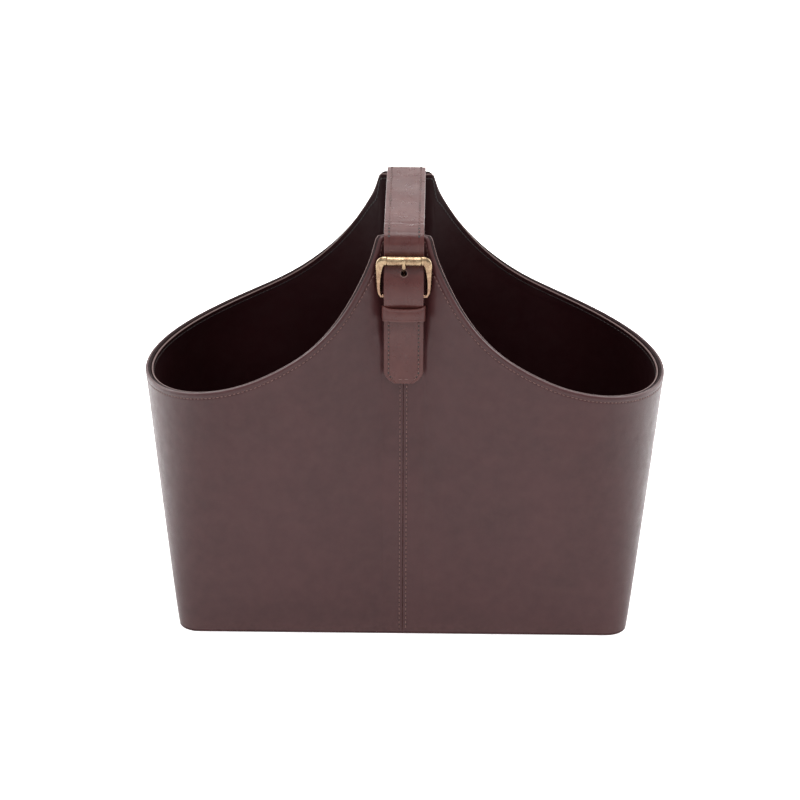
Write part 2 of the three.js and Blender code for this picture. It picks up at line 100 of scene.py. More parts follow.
# ---- the wall's surface
def outline_quarter(rise):
    """A quarter of the plan outline at a rise from 0, the base, to 1, the rim."""
    half_width = BASE_HALF_WIDTH + (RIM_HALF_WIDTH - BASE_HALF_WIDTH) * rise
    half_depth = BASE_HALF_DEPTH + (RIM_HALF_DEPTH - BASE_HALF_DEPTH) * rise
    opening = rise ** CORNER_GROWTH
    corner_x = BASE_CORNER + (RIM_CORNER_X - BASE_CORNER) * opening
    corner_y = BASE_CORNER + (RIM_CORNER_Y - BASE_CORNER) * opening
    front = half_width - corner_x
    side = half_depth - corner_y
    arc = (corner_x + corner_y) * math.pi / 4
    return half_width, half_depth, corner_x, corner_y, front, side, arc


def plan_point(along, rise):
    """Points on the quarter outline, from the front centre, 0, to the middle of the end, 1."""
    half_width, half_depth, corner_x, corner_y, front, side, arc = outline_quarter(rise)
    length = front + arc + side
    travelled = along * length
    angle = np.clip((travelled - front) / arc, 0, 1) * math.pi / 2
    opening = np.clip((travelled - PINCH_START) / (PINCH_END - PINCH_START), 0, 1)
    pinch = (RIM_HALF_DEPTH - PEAK_HALF_DEPTH) * rise * (1 - opening) ** PINCH_POWER
    x = np.where(travelled < front, travelled,
                 np.where(travelled < front + arc, front + corner_x * np.sin(angle), half_width))
    y = np.where(travelled < front, pinch - half_depth,
                 np.where(travelled < front + arc, -side - corner_y * np.cos(angle),
                          travelled - length))
    return x, y


RIM_QUARTER = sum(outline_quarter(1.0)[4:])


def rim_height(along):
    travelled = along * RIM_QUARTER
    sweep = (END_HEIGHT + SHOULDER_RISE * (1 - along) ** 2
             + PEAK_RISE * (np.exp(-travelled / PEAK_FALL) - math.exp(-RIM_QUARTER / PEAK_FALL))
             + SHOULDER_HEIGHT * np.exp(-((travelled - SHOULDER_AT) / SHOULDER_WIDTH) ** 2))
    return PEAK_HEIGHT - PEAK_ROUND * np.log1p(np.exp((PEAK_HEIGHT - sweep) / PEAK_ROUND))


def quarter_place(around):
    """Where a place round a half, 0 front to 2 back, is on its quarter, and 1 front or -1 back."""
    return np.where(around > 1, 2 - around, around), np.where(around > 1, -1.0, 1.0)


def wall_surface(around, side, height):
    """The wall's outer surface and its outward direction in plan."""
    along, facing = quarter_place(around)
    rise = height / rim_height(along)
    x, y = plan_point(along, rise)
    x0, y0 = plan_point(np.clip(along - SLOPE_STEP, 0, 1), rise)
    x1, y1 = plan_point(np.clip(along + SLOPE_STEP, 0, 1), rise)
    length = np.hypot(x1 - x0, y1 - y0)
    points = np.stack([x * side, y * facing, height + 0 * x], -1)
    outward = np.stack([(y1 - y0) / length * side, -(x1 - x0) / length * facing, 0 * x], -1)
    return points, outward


def rim_steepness(around):
    along, _ = quarter_place(around)
    low, high = np.clip(along - SLOPE_STEP, 0, 1), np.clip(along + SLOPE_STEP, 0, 1)
    return np.hypot(1, (rim_height(high) - rim_height(low)) / ((high - low) * RIM_QUARTER))


def drop_from_rim(around, height):
    """How far below the rim heights are at each place, measured square to it."""
    top = rim_height(quarter_place(around)[0])[:, None]
    return (top - height) / rim_steepness(around)[:, None]


def below_rim(around, drop):
    """The height that is a given drop below the rim, measured square to it."""
    along, _ = quarter_place(around)
    return rim_height(along) - drop * rim_steepness(around)


# ---- mesh building
def turns(count):
    """Even angles round a full turn."""
    return np.arange(count) / count * 2 * math.pi


def new_object(name, data):
    obj = bpy.data.objects.new(name, data)
    bpy.context.scene.collection.objects.link(obj)
    return obj


def smooth(mesh, angle):
    """Shade smooth, but for edges sharper than an angle in degrees."""
    mesh.shade_smooth()
    mesh.set_sharp_from_angle(angle=math.radians(angle))


def mesh_object(name, points, faces, material, smooth_angle=35.0):
    """A mesh from points in millimetres, its faces turned outwards."""
    mesh = bpy.data.meshes.new(name)
    mesh.from_pydata((np.asarray(points) * MM).tolist(), [], faces)
    obj = new_object(name, mesh)
    mesh.materials.append(material)
    work = bmesh.new()
    work.from_mesh(mesh)
    bmesh.ops.recalc_face_normals(work, faces=work.faces)
    if work.calc_volume(signed=True) < 0:
        bmesh.ops.reverse_faces(work, faces=work.faces)
    work.to_mesh(mesh)
    work.free()
    smooth(mesh, smooth_angle)
    return obj


def loft_faces(rings, size, closed=False):
    faces = []
    for i in range(rings if closed else rings - 1):
        here, there = i * size, ((i + 1) % rings) * size
        for j in range(size):
            k = (j + 1) % size
            faces.append((here + j, here + k, there + k, there + j))
    if not closed:
        faces.append(tuple(range(size)))
        faces.append(tuple((rings - 1) * size + j for j in reversed(range(size))))
    return faces


def loft(name, rings, material, closed=False, smooth_angle=35.0):
    """A solid through rings of points: an array of rings, points and coordinates."""
    rings = np.asarray(rings, float)
    faces = loft_faces(len(rings), rings.shape[1], closed)
    return mesh_object(name, rings.reshape(-1, 3), faces, material, smooth_angle)


def cut_away(obj, cutter):
    """Cut one closed mesh out of another, then drop the cutter."""
    modifier = obj.modifiers.new("Cut", "BOOLEAN")
    modifier.operation = "DIFFERENCE"
    modifier.solver = "EXACT"
    modifier.object = cutter
    graph = bpy.context.evaluated_depsgraph_get()
    mesh = bpy.data.meshes.new_from_object(obj.evaluated_get(graph))
    obj.modifiers.clear()
    obj.data = mesh
    bpy.data.objects.remove(cutter)
    smooth(mesh, 40)


def place(obj, body, slot, *nodes):
    """Ride a piece on a body, hiding the CAD nodes it stands for; the slot is not used."""
    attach(obj, body)
    if nodes:
        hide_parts(*nodes)


def dip(distance, width):
    """A smooth groove profile: 1 at its middle, fading over its width."""
    return np.exp(-(distance / width) ** 2)


# ---- materials
class Tree:
    """A node tree, with short calls for the nodes used here."""

    def __init__(self, tree):
        self.tree = tree

    def add(self, kind, **settings):
        node = self.tree.nodes.new(kind)
        for key, value in settings.items():
            setattr(node, key, value)
        return node

    def link(self, value, socket):
        """Join an output to a socket, or set a plain value on it."""
        if isinstance(value, bpy.types.NodeSocket):
            self.tree.links.new(value, socket)
        else:
            socket.default_value = value

    def fill(self, node, **values):
        """Link or set a node's inputs by name; an underscore stands for a space."""
        for key, value in values.items():
            self.link(value, node.inputs[key.replace("_", " ")])
        return node.outputs

    def remap(self, value, low, high, to_low=0.0, to_high=1.0):
        return self.fill(self.add("ShaderNodeMapRange"), Value=value, From_Min=low, From_Max=high,
                         To_Min=to_low, To_Max=to_high)["Result"]

    def math(self, operation, first, second=0.0):
        node = self.add("ShaderNodeMath", operation=operation)
        self.link(first, node.inputs[0])
        self.link(second, node.inputs[1])
        return node.outputs[0]


class Nodes(Tree):
    """A new material's node tree, with its textures in the object's own space."""

    def __init__(self, name):
        self.material = bpy.data.materials.new(name)
        self.material.use_nodes = True
        super().__init__(self.material.node_tree)
        self.shader = self.tree.nodes["Principled BSDF"]
        self.place = self.add("ShaderNodeTexCoord").outputs["Object"]

    def noise(self, scale, detail=4.0, roughness=0.5, distortion=0.0, place=None):
        return self.fill(self.add("ShaderNodeTexNoise"), Vector=place or self.place, Scale=scale,
                         Detail=detail, Roughness=roughness, Distortion=distortion)["Fac"]

    def cells(self, scale):
        node = self.add("ShaderNodeTexVoronoi", feature="DISTANCE_TO_EDGE")
        return self.fill(node, Vector=self.place, Scale=scale)["Distance"]

    def mix(self, share, first, second):
        node = self.add("ShaderNodeMix", data_type="RGBA")
        self.link(share, node.inputs["Factor"])
        for value, socket in ((first, node.inputs[6]), (second, node.inputs[7])):
            self.link((*value, 1.0) if isinstance(value, tuple) else value, socket)
        return node.outputs[2]

    def bump(self, height, strength, distance, normal=None):
        below = {"Normal": normal} if normal else {}
        return self.fill(self.add("ShaderNodeBump"), Height=height, Strength=strength,
                         Distance=distance, **below)["Normal"]

    def stretched(self, x, y, z):
        node = self.add("ShaderNodeMapping")
        return self.fill(node, Vector=self.place, Scale=(x, y, z))["Vector"]

    def along(self, axis):
        return self.fill(self.add("ShaderNodeSeparateXYZ"), Vector=self.place)[axis]

    def edges(self, low, high):
        return self.remap(self.add("ShaderNodeNewGeometry").outputs["Pointiness"], low, high)

    def finish(self, **values):
        """Fill in the shader's inputs, and give the material."""
        for key, value in values.items():
            values[key] = (*value, 1.0) if isinstance(value, tuple) else value
        self.fill(self.shader, **values)
        return self.material


def leather(name, deep, base, worn_and_highlight_tone, roughness=(0.34, 0.46), grain=1.0, wear_and_highlight=0.5, specular=0.5):
    """Smooth finished leather: cloudy dye, fine pebbled grain, pores and rubbed edges with painted
    highlight.
    """
    n = Nodes(name)
    clouds = n.remap(n.noise(14.0, 3.0, 0.55, 0.3), 0.35, 0.68)
    mottle = n.remap(n.noise(95.0, 5.0, 0.6), 0.35, 0.7)
    colour = n.mix(clouds, deep, base)
    colour = n.mix(n.math("MULTIPLY", mottle, 0.35), colour, worn_and_highlight_tone)
    # edges lightened by pointiness: partly rubbed wear, partly a painted highlight, as on the rim's
    # top edge
    edge = n.edges(0.508, 0.56)
    edge_wear_and_highlight = n.math("MULTIPLY", edge, n.remap(n.noise(260.0), 0.3, 0.65))
    colour = n.mix(n.math("MULTIPLY", edge_wear_and_highlight, wear_and_highlight), colour, worn_and_highlight_tone)
    pebbles = n.remap(n.cells(780.0), 0.0, 0.16)
    pores = n.remap(n.noise(2300.0, 2.0, 0.6), 0.35, 0.6)
    waves = n.noise(45.0, 2.0)
    normal = n.bump(waves, 0.25, 0.0016)
    normal = n.bump(pebbles, 0.16 * grain, 0.00012, normal)
    normal = n.bump(pores, 0.12 * grain, 0.00008, normal)
    gloss = n.remap(n.noise(120.0, 5.0, 0.65), 0.3, 0.7, roughness[0], roughness[1])
    return n.finish(Base_Color=colour, Roughness=gloss, Normal=normal, Specular_IOR_Level=specular)


COPPER_FROM, COPPER_TO = 0.326, 0.356  # metres; lower down, the brass turns a darker, redder copper colour


def brass(name, bright, dull, dark, copper):
    """Aged brass: rubbed edges over a brown, blotched patina with fine scratches."""
    n = Nodes(name)
    blotches = n.remap(n.noise(190.0, 6.0, 0.65, 0.6), 0.36, 0.62)
    stains = n.remap(n.noise(620.0, 4.0, 0.6), 0.45, 0.68)
    edge = n.edges(0.49, 0.56)
    colour = n.mix(blotches, dull, bright)
    low = n.remap(n.along("Z"), COPPER_FROM, COPPER_TO, 0.85, 0.0)
    colour = n.mix(low, colour, copper)
    colour = n.mix(n.math("MULTIPLY", stains, 0.55), colour, dark)
    colour = n.mix(n.math("MULTIPLY", edge, 0.6), colour, bright)
    scratches = n.noise(900.0, 3.0, 0.6, place=n.stretched(1.0, 1.0, 6.0))
    normal = n.bump(n.noise(420.0), 0.3, 0.0004)
    normal = n.bump(scratches, 0.15, 0.0001, normal)
    gloss = n.remap(blotches, 0.0, 1.0, 0.32, 0.15)
    return n.finish(Base_Color=colour, Roughness=gloss, Normal=normal, Metallic=1.0)


def thread(name, base, light):
    """Waxed thread: two twisted plies with a slight sheen."""
    n = Nodes(name)
    plies = n.noise(1900.0, 2.0, place=n.stretched(1.0, 1.0, 0.6))
    colour = n.mix(n.remap(plies, 0.35, 0.65), base, light)
    normal = n.bump(plies, 0.5, 0.0002)
    gloss = n.remap(plies, 0.3, 0.7, 0.42, 0.62)
    return n.finish(Base_Color=colour, Roughness=gloss, Normal=normal)


def raw_edge(name, base, light):
    """A cut leather edge, dyed and burnished, fibres showing; also used for a painted highlight and
    shade.
    """
    n = Nodes(name)
    fibres = n.noise(1200.0, 4.0, 0.7, place=n.stretched(1.0, 1.0, 0.4))
    colour = n.mix(n.remap(fibres, 0.35, 0.7), base, light)
    gloss = n.remap(fibres, 0.3, 0.7, 0.45, 0.7)
    return n.finish(Base_Color=colour, Roughness=gloss, Normal=n.bump(fibres, 0.4, 0.0002))


def board(name):
    """Grey-brown fibre board, pressed from short fibres."""
    n = Nodes(name)
    fibres = n.noise(700.0, 6.0, 0.7, 0.8)
    colour = n.mix(n.remap(fibres, 0.3, 0.7), (0.17, 0.12, 0.08), (0.30, 0.23, 0.16))
    gloss = n.remap(fibres, 0.3, 0.7, 0.75, 0.95)
    return n.finish(Base_Color=colour, Roughness=gloss, Normal=n.bump(fibres, 0.5, 0.0003))


COVER = leather("cover_leather_brown", (0.036, 0.0090, 0.0098), (0.045, 0.0120, 0.0130),
                (0.066, 0.023, 0.023), specular=0.32)
STRAP = leather("strap_leather_chestnut", (0.052, 0.0100, 0.0090), (0.064, 0.0140, 0.0125),
                (0.110, 0.038, 0.032), roughness=(0.24, 0.36), wear_and_highlight=0.8, specular=0.36)
LINING = leather("lining_leather_black", (0.0120, 0.0011, 0.0019), (0.0155, 0.0019, 0.0027),
                 (0.018, 0.006, 0.0065), roughness=(0.55, 0.68), grain=0.8, specular=0.12)
RIM_DYE = leather("rim_edge_black", (0.0070, 0.0022, 0.0026), (0.0110, 0.0038, 0.0042),
                  (0.024, 0.011, 0.011), roughness=(0.55, 0.7), grain=0.6, specular=0.08)
# a lighter glossy brown: partly rubbed wear, partly a painted highlight for the glints round the hole
LIP_WEAR_AND_HIGHLIGHT = leather("hole_lip_rubbed_and_painted_highlight", (0.085, 0.036, 0.031), (0.13, 0.062, 0.054),
              (0.21, 0.12, 0.10), roughness=(0.2, 0.3), wear_and_highlight=0.8)
EDGE = raw_edge("cut_edge_brown", (0.035, 0.012, 0.011), (0.085, 0.038, 0.032))
# a lighter brown for the lining's rounded top edge: a painted highlight, the bright line along that
# edge
LINING_EDGE_HIGHLIGHT = raw_edge("lining_edge_painted_highlight", (0.060, 0.030, 0.027), (0.15, 0.085, 0.078))
BRASS = brass("buckle_aged_brass", (0.42, 0.31, 0.19), (0.19, 0.11, 0.066),
              (0.05, 0.022, 0.016), copper=(0.21, 0.095, 0.078))
THREAD = thread("thread_brown", (0.075, 0.030, 0.027), (0.19, 0.095, 0.083))
LINING_THREAD = thread("thread_black", (0.012, 0.005, 0.005), (0.035, 0.018, 0.017))
# near-black discs over the needle holes: painted shade for the dark inside of each hole
NEEDLE_HOLE_SHADE = raw_edge("needle_hole_painted_shade", (0.004, 0.0015, 0.0015), (0.010, 0.004, 0.004))
BOARD = board("fibre_board_brown")


# ---- stitches
def stitch_template():
    """One stitch 1 long on +X and a round thread of radius 1, sinking at both ends."""
    sections = [(-0.5, -1.3, 0.55), (-0.42, -0.3, 0.95), (-0.25, 0.25, 1.0), (0.0, 0.42, 1.0),
                (0.25, 0.25, 1.0), (0.42, -0.3, 0.95), (0.5, -1.3, 0.55)]
    sides = 6
    points = [[x, math.cos(a) * r, lift + math.sin(a) * r]
              for x, lift, r in sections for a in turns(sides)]
    return np.array(points), loft_faces(len(sections), sides)


def hole_template():
    """A needle hole: a shallow, slightly sunk disc of radius 1, longer along the row."""
    sides, length, dished, deep = 8, 1.35, 0.25, 0.6
    rim = np.array([[length * math.cos(a), math.sin(a), 0.0] for a in turns(sides)])
    points = [*rim, [0.0, 0.0, -dished], *(rim - [0.0, 0.0, deep])]
    under = sides + 1
    faces = [(j, (j + 1) % sides, sides) for j in range(sides)]
    faces += [(j, under + j, under + (j + 1) % sides, (j + 1) % sides) for j in range(sides)]
    faces.append(tuple(under + j for j in reversed(range(sides))))
    return np.array(points), faces


DIRECTION_STEP = 0.3    # to either side of a place when a row's direction is measured


def travelled(path):
    """How far along a polyline each of its points is."""
    steps = np.linalg.norm(np.diff(path, axis=0), axis=1)
    return np.concatenate([[0], np.cumsum(steps)])


def along_curve(points, normals, pitch=STITCH_PITCH):
    """Even places, directions and normals on a polyline, half a pitch in from its ends."""
    far = travelled(points)
    total = far[-1]
    count = max(1, int(round(total / pitch)))
    places = (np.arange(count) + 0.5) * total / count

    def read(values, where):
        return np.stack([np.interp(where, far, values[:, i]) for i in range(3)], -1)

    ahead = read(points, places + DIRECTION_STEP) - read(points, places - DIRECTION_STEP)
    return read(points, places), unit(ahead), unit(read(normals, places))


def unit(vectors):
    return vectors / np.linalg.norm(vectors, axis=-1, keepdims=True)


STITCH_LIFT, HOLE_LIFT = 0.12, 0.06


def stitching(name, rows, thread_radius=0.42, gap=1.4, hole_radius=0.68, material=THREAD):
    """Rows of stitches as one piece: raised threads, with a needle hole's painted shade between each
    two.
    """
    stitch, stitch_faces = stitch_template()
    hole, hole_faces = hole_template()
    points, faces, materials = [], [], []
    offset = 0
    for at, direction, normal in rows:
        across = unit(np.cross(normal, direction))
        normal = np.cross(direction, across)
        pitch = np.linalg.norm(at[1] - at[0])
        sewn = stitch * (pitch - gap, thread_radius, thread_radius) + (0.0, 0.0, STITCH_LIFT)
        pierced = hole * hole_radius + (0.5 * pitch, 0.0, HOLE_LIFT)
        for centre, *axes in zip(at, direction, across, normal):
            for kind, (local, shape) in enumerate(((sewn, stitch_faces), (pierced, hole_faces))):
                world = centre + local @ np.array(axes)
                points.append(world)
                faces += [tuple(i + offset for i in face) for face in shape]
                materials += [kind] * len(shape)
                offset += len(world)
    mesh = bpy.data.meshes.new(name)
    mesh.from_pydata((np.concatenate(points) * MM).tolist(), [], faces)
    mesh.materials.append(material)
    # the needle-hole discs: painted shade
    mesh.materials.append(NEEDLE_HOLE_SHADE)
    mesh.polygons.foreach_set("material_index", materials)
    smooth(mesh, 50)
    place(new_object(name, mesh), "rack", "webbing")


# ---- the walls
PEAK_STEPS_FROM, PEAK_STEPS_TO, PEAK_STEP = 13.5, 34.0, 1.2


def seam_places(spacing=4.0):
    """Places round a half, closer together beside the front and back seams."""
    near = [0.0, 0.25, 0.55, 0.9, 1.4, 1.9, 2.35, 2.6, 2.85, 3.1, 3.35, 3.8, 4.6, 5.8, 7.5, 9.5, 12.0]
    peak = np.arange(PEAK_STEPS_FROM, PEAK_STEPS_TO, PEAK_STEP)
    rest_from = PEAK_STEPS_TO + 0.5
    rest = np.linspace(rest_from, RIM_QUARTER, int((RIM_QUARTER - rest_from) / spacing))
    quarter = np.concatenate([near, peak, rest]) / RIM_QUARTER
    return np.concatenate([quarter, 2 - quarter[-2::-1]])


def section_heights(around, bottom, drops, rows):
    """Heights from the bottom up to the first drop, then at each drop below the rim."""
    start = below_rim(around, drops[0])
    share = np.linspace(0, 1, rows)
    lower = bottom + (start - bottom) * share[:, None]
    upper = np.array([below_rim(around, drop) for drop in drops[1:]])
    return np.concatenate([lower, upper]).T


def seam_relief(around, drop):
    """How far the outer face sinks at the centre seams, the stitch lines and the rim fold."""
    along, _ = quarter_place(around)
    distance = along * RIM_QUARTER
    seam = 0.55 * dip(distance, 0.45) + 0.3 * dip(distance - SEAM_STITCH_OFFSET, 0.5)
    swell = -0.16 * dip(distance - 1.4, 0.6)
    rim = 0.34 * dip(drop - RIM_STITCH_DROP, 0.55) - 0.28 * dip(drop - 2.4, 1.5)
    return seam + swell + rim


def layer_rings(side, places, face, face_depth, edge, back_shares):
    """Rings of a wall layer: up its face, over its edge's (depth, drop) points and down its back."""
    bottom = face[0, 0]
    edge_height = np.array([below_rim(places, drop) for _, drop in edge]).T
    edge_depth = np.array([[depth for depth, _ in edge]] * len(places))
    back = bottom + (edge_height[:, -1:] - bottom) * np.array(back_shares)
    height = np.concatenate([face, edge_height, back], 1)
    depth = np.concatenate([face_depth, edge_depth, np.full_like(back, edge[-1][0])], 1)
    around = np.repeat(places[:, None], height.shape[1], 1)
    points, outward = wall_surface(around, side, height)
    return points - outward * depth[..., None]


HEM_ROUNDING = 0.08


def cover_half(side, name):
    places = seam_places()
    drops = [14.0, 11.5, 9.5, 8.0, 7.0, 6.2, 5.6, 5.2, 4.8, 4.4, 4.0, 3.4, 2.6, 1.9, 1.3, 0.85]
    face = section_heights(places, WALL_BOTTOM, drops, 26)
    depth = seam_relief(places[:, None], drop_from_rim(places, face))
    depth[:, 0] += HEM_ROUNDING
    fold = [(0.22, 0.42), (0.6, 0.14), (1.2, 0.0), (2.2, -0.06), (3.2, 0.02), (3.9, 0.2),
            (4.35, 0.5), (FOLD_DEPTH, 1.0), (FOLD_DEPTH + 0.05, 2.0), (FOLD_DEPTH, 5.0),
            (FOLD_DEPTH - 0.1, FOLD_LENGTH), (FOLD_DEPTH - 0.9, FOLD_LENGTH),
            (FOLD_DEPTH - 0.9, 5.0), (FOLD_DEPTH - 0.9, 2.0), (FOLD_DEPTH - 1.3, 1.45),
            (2.2, 1.25), (COVER_THICKNESS + 0.15, 1.5), (COVER_THICKNESS, 2.2),
            (COVER_THICKNESS, 5.0), (COVER_THICKNESS, 14.0)]
    rings = layer_rings(side, places, face, depth, fold, [0.75, 0.5, 0.25, 0.0])
    rings[:, :, 0] += side * 0.06 * dip(rings[:, :, 0], 1.0)
    obj = loft(name, rings, COVER, smooth_angle=48)
    first = face.shape[1]
    paint_columns(obj, rings.shape, RIM_DYE, first + 3, first + len(fold) - 4)
    place(obj, "rack", "cover_leather", name)


def paint_columns(obj, shape, material, first, last):
    """Give a wall layer a second material from one column of its faces to another."""
    obj.data.materials.append(material)
    rings, size = shape[:2]
    index = np.zeros(len(obj.data.polygons), int)
    column = np.arange((rings - 1) * size) % size
    index[:len(column)] = (column >= first) & (column < last)
    obj.data.polygons.foreach_set("material_index", index.tolist())


def wall_layer(side, name, edge, bottom, drops, depth, material, slot, rows, relief=None,
               edge_highlight_material=None):
    """A plain layer of the wall, its outer face at a depth and its top edge given by points."""
    places = seam_places(6.0)
    face = section_heights(places, bottom, drops, rows)
    face_depth = np.full_like(face, depth)
    if relief:
        face_depth += relief(drop_from_rim(places, face))
    rings = layer_rings(side, places, face, face_depth, edge, [0.66, 0.33, 0.0])
    obj = loft(name, rings, material, smooth_angle=48)
    # the top edge's columns take the lighter material: a painted highlight along the layer's rim
    if edge_highlight_material:
        first = face.shape[1] - 1
        paint_columns(obj, rings.shape, edge_highlight_material, first, first + 4)
    place(obj, "rack", slot, name)


def lining_relief(drop):
    """The lining's turned edge is double, and its stitch line sinks into it."""
    step = 0.15 / (1 + np.exp((drop - LINING_FOLD_LENGTH) / 0.5))
    return step - 0.15 * dip(drop - RIM_STITCH_DROP, 0.6)


def lining_half(side, name):
    drops = [16.0, 13.0, 12.0, 11.5, 11.0, 10.5, 9.5, 8.0, 6.5, 5.6, 5.2, 4.8, 4.4, 4.0, 3.2, 2.4,
             1.7]
    edge = [(6.75, 1.1), (6.45, 0.75), (6.0, 0.6), (5.5, 0.75), (5.15, 1.15), (LINING_OUT, 2.0),
            (LINING_OUT, 16.0)]
    wall_layer(side, name, edge, 7.6, drops, LINING_IN, LINING, "lining_leather", 16,
               relief=lining_relief, edge_highlight_material=LINING_EDGE_HIGHLIGHT)


def board_half(side, name):
    edge = [(2.2, 1.7), (2.6, 1.6), (3.2, 1.7), (3.5, 2.1), (3.55, 16.0)]
    wall_layer(side, name, edge, WALL_BOTTOM, [16.0, 6.0, 2.1], 1.5, BOARD, "fibre_board", 8)


def base_ring(inset, height):
    """The base outline, drawn in by an inset, at one height."""
    along, facing = quarter_place(np.linspace(0, 2, 119))
    x, y = plan_point(along, height / PEAK_HEIGHT)
    ring = np.stack([x, y * facing], -1)
    ring = np.concatenate([ring, (ring * [-1, 1])[-2:0:-1]])
    shift = np.roll(ring, -1, 0) - np.roll(ring, 1, 0)
    outward = unit(np.stack([shift[:, 1], -shift[:, 0]], -1))
    ring = ring - outward * inset
    return np.concatenate([ring, np.full((len(ring), 1), height)], 1)


def base_slab(name, profile, material, slot):
    slab = loft(name, [base_ring(*ring) for ring in profile], material, smooth_angle=50)
    place(slab, "rack", slot, name)


def build_walls():
    for side, word in ((1, "right"), (-1, "left")):
        cover_half(side, "outer_cover_" + word)
        board_half(side, "wall_board_" + word)
        lining_half(side, "lining_" + word)
    base_slab("base_cover", [(1.2, 0.0), (0.45, 0.06), (0.1, 0.3), (0.0, 0.7), (0.1, 1.1),
                             (0.4, 1.35), (1.2, 1.4)], COVER, "cover_leather")
    base_slab("base_lining", [(7.9, 6.0), (7.2, 6.3), (7.1, 6.8), (7.5, 7.25), (8.6, 7.4)],
              LINING, "lining_leather")


# ---- the handle strap
def wall_half_depth(height):
    return BASE_HALF_DEPTH - WALL_LEAN * height


def arc_points(centre, radius, start, stop, count):
    angles = np.radians(np.linspace(start, stop, count))
    return np.stack([centre[0] + radius * np.cos(angles), centre[1] + radius * np.sin(angles)], -1)


BACK_BEND_RADIUS, FRONT_BEND_RADIUS = 3.4, 11.0
BACK_BEND_CENTRE = (PEAK_HALF_DEPTH - 1.4, PEAK_HEIGHT + 0.35 - BACK_BEND_RADIUS)
FRONT_BEND_CENTRE = (-(PEAK_HALF_DEPTH - 8.1), PEAK_HEIGHT + 3.4 - FRONT_BEND_RADIUS)
STRAP_END_HEIGHT, STRAP_END_STANDOFF = 359.8, 2.5
TAB_BEND_FROM, TAB_BEND_TO, TAB_LIFT, TAB_STANDOFF = 300.0, 345.0, 0.2, 1.3


def strap_path():
    """The underside's path in depth and height, from the back tab's tip to the front end."""
    lift = TAB_LIFT / (TAB_BEND_TO - TAB_BEND_FROM)
    back = [(wall_half_depth(h) + TAB_STANDOFF + lift * max(0, h - TAB_BEND_FROM), h)
            for h in np.linspace(TAB_TIP_HEIGHT, TAB_BEND_TO, 60)]
    rise = np.linspace(0, 1, 12)[1:-1, None]
    back_side = np.array([BACK_BEND_CENTRE[0] + BACK_BEND_RADIUS, BACK_BEND_CENTRE[1]])
    up = np.array(back[-1]) * (1 - rise) + back_side * rise
    bend = arc_points(BACK_BEND_CENTRE, BACK_BEND_RADIUS, 0, 90, 9)
    flat_x = np.linspace(BACK_BEND_CENTRE[0], FRONT_BEND_CENTRE[0], 110)[1:-1]
    share = (flat_x - flat_x[0]) / (flat_x[-1] - flat_x[0])
    low = BACK_BEND_CENTRE[1] + BACK_BEND_RADIUS
    high = FRONT_BEND_CENTRE[1] + FRONT_BEND_RADIUS
    flat = np.stack([flat_x, low + (high - low) * share], -1)
    drop = arc_points(FRONT_BEND_CENTRE, FRONT_BEND_RADIUS, 90, 180, 26)
    end = np.array([-(wall_half_depth(STRAP_END_HEIGHT) + STRAP_END_STANDOFF), STRAP_END_HEIGHT])
    fall = np.linspace(0, 1, 5)[1:, None]
    tail = drop[-1] * (1 - fall) + end * fall
    return np.concatenate([back, up, bend, flat, drop, tail])


def path_normals(path):
    """Outward normals of a path walked up the back and over the top to the front."""
    ahead = np.roll(path, -1, 0) - np.roll(path, 1, 0)
    ahead[0] = path[1] - path[0]
    ahead[-1] = path[-1] - path[-2]
    ahead = unit(ahead)
    return np.stack([ahead[:, 1], -ahead[:, 0]], -1)


def strap_section(low, high, half, channel=0.22, crown=0.25, edge=0.55):
    """A strap's cross-section: across and outward, with rounded edges and stitch grooves."""
    line = half - STRAP_STITCH_INSET
    across = [half - 1.3, half - 2.4]
    across += [line + x for x in (0.9, 0.5, 0.2, 0.0, -0.2, -0.5, -0.9, -3.0, -6.0, -9.0)]
    across += [0.0] + [-x for x in reversed(across)]
    top = [(x, high + crown * (1 - (x / half) ** 2) - channel * dip(abs(x) - line, 0.5))
           for x in across]
    right = [(half - edge, low), (half - 0.12, low + 0.3 * edge), (half, low + edge),
             (half, high - edge - 0.05), (half - 0.1, high - 0.5 * edge),
             (half - 0.35, high - 0.15 * edge), (half - 0.75, high)]
    left = [(-x, z) for x, z in reversed(right)]
    bottom = [(x, low) for x in (-half * 0.5, 0.0, half * 0.5)]
    return np.array(right + top + left + bottom)


TIP_LENGTH, TIP_FLAT, TIP_CURVE = 13.0, 6.5, 2.3


def tip_width(distance):
    """The half width near a blunt tip, a given distance in from its end."""
    share = np.clip(distance / TIP_LENGTH, 0, 1)
    return TIP_FLAT + (STRAP_HALF - TIP_FLAT) * (1 - (1 - share) ** TIP_CURVE)


STRAP_EDGE = 1.4        # the rounded edge, which keeps its shape where a tip narrows


def strap_rings(path, normals, section, widths):
    """Rings of a strap along a path in the middle plane; widths scale the section across."""
    rings = []
    across, proud = section.T
    half = across.max()
    outer = np.abs(across) > half - STRAP_EDGE
    for (y, z), (ny, nz), width in zip(path, normals, widths):
        squeezed = np.where(outer, across - np.sign(across) * (half - width),
                            across * (width - STRAP_EDGE) / (half - STRAP_EDGE))
        rings.append(np.stack([squeezed, y + ny * proud, z + nz * proud], -1))
    return np.array(rings)


# creases and swells: how proud, how far in front of the middle, share of the sway, width
FOLDS = ((-0.34, 61.0, 1.0, 1.3), (-0.26, 66.5, -0.8, 1.1), (-0.2, 72.5, 0.5, 1.0),
         (0.16, 63.8, 1.0, 1.5), (0.12, 57.5, -1.0, 2.2))


